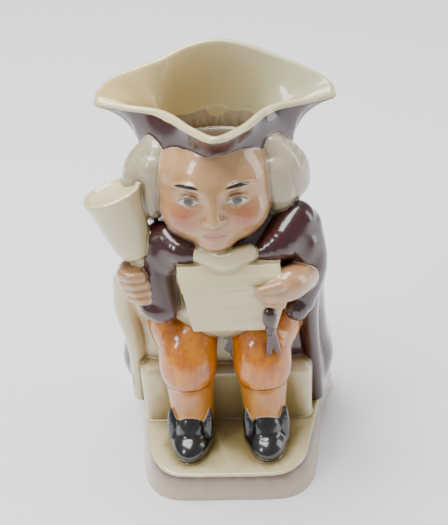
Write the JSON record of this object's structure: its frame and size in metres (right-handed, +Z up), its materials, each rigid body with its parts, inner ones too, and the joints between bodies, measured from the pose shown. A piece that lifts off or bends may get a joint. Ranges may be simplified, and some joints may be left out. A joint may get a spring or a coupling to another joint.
{
  "type": "toby jug",
  "caption": "Hollow glazed jug in the form of a seated town crier: the open tricorne hat pours, a loop handle stands behind, and a flat plinth carries it.",
  "frame": {"origin": "middle of the plinth's flat underside", "axes": "+Z up; the figure faces -Y and the handle is on the +Y side; the figure's right hand, with the bell, is on the -X side"},
  "size_m": [0.101, 0.1138, 0.1797],
  "materials": {
    "glazed_earthenware": "gloss glaze over hand-painted colours"
  },
  "bodies": {
    "root": {"jug": "glazed_earthenware"}
  },
  "joints": []
}
